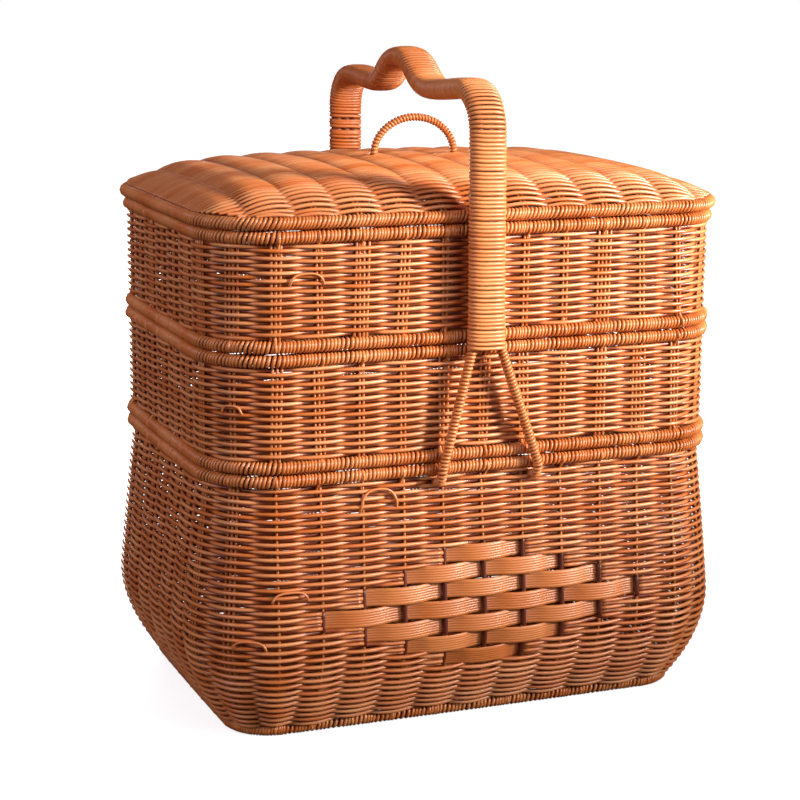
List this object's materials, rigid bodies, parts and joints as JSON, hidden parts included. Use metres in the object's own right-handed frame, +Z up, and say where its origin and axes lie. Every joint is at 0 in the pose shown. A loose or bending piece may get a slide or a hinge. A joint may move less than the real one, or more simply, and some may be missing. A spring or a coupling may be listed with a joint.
{
  "type": "tiered storage basket",
  "caption": "Bellied woven basket with two stacked trays, a domed lid with a small arch handle, and a fixed bound handle over the stack.",
  "frame": {"origin": "centre of the footprint, on the surface that the foot rim stands on", "axes": "+Z up, +X along the long side to the right as seen from the front, -Y towards the front with the diamond"},
  "size_m": [0.4466, 0.3334, 0.5129],
  "materials": {
    "woven_cane": "round woven plastic cane, satin gloss",
    "wrapped_cane": "plastic cane wound closely round a rod, satin gloss",
    "flat_strap": "flat plastic strap with lengthwise ridges, satin gloss",
    "stake_cane": "dark round plastic cane, satin gloss"
  },
  "bodies": {
    "base_and_handle": {"base_wall": "woven_cane", "base_top_rim": "wrapped_cane", "base_foot_rim": "wrapped_cane", "base_floor": "woven_cane", "diamond_strap_1": "flat_strap", "diamond_strap_2": "flat_strap", "diamond_strap_3": "flat_strap", "diamond_strap_4": "flat_strap", "diamond_strap_5": "flat_strap", "diamond_strap_6": "flat_strap", "diamond_strap_7": "flat_strap", "diamond_stake_1": "stake_cane", "diamond_stake_2": "stake_cane", "diamond_stake_3": "stake_cane", "diamond_stake_4": "stake_cane", "diamond_stake_5": "stake_cane", "diamond_stake_6": "stake_cane", "diamond_stake_7": "stake_cane", "diamond_stake_8": "stake_cane", "diamond_stake_9": "stake_cane", "handle_binding": "wrapped_cane", "handle_rod_left": "wrapped_cane", "handle_rod_right": "wrapped_cane"},
    "tray_lower": {"tray_lower_wall": "woven_cane", "tray_lower_bottom_rim": "wrapped_cane", "tray_lower_top_rim": "wrapped_cane", "tray_lower_floor": "woven_cane"},
    "tray_upper": {"tray_upper_wall": "woven_cane", "tray_upper_bottom_rim": "wrapped_cane", "tray_upper_top_rim": "wrapped_cane", "tray_upper_floor": "woven_cane"},
    "lid": {"lid_panel": "woven_cane", "lid_rim": "wrapped_cane", "lid_handle": "wrapped_cane"}
  },
  "joints": [
    {"name": "tray_lower_slide", "type": "slide", "parent": "base_and_handle", "child": "tray_lower", "axis": [1, 0, 0], "range_m": [-0.44, 0.44]},
    {"name": "tray_upper_slide", "type": "slide", "parent": "tray_lower", "child": "tray_upper", "axis": [1, 0, 0], "range_m": [-0.44, 0.44]},
    {"name": "lid_slide", "type": "slide", "parent": "tray_upper", "child": "lid", "axis": [1, 0, 0], "range_m": [-0.44, 0.44]}
  ]
}
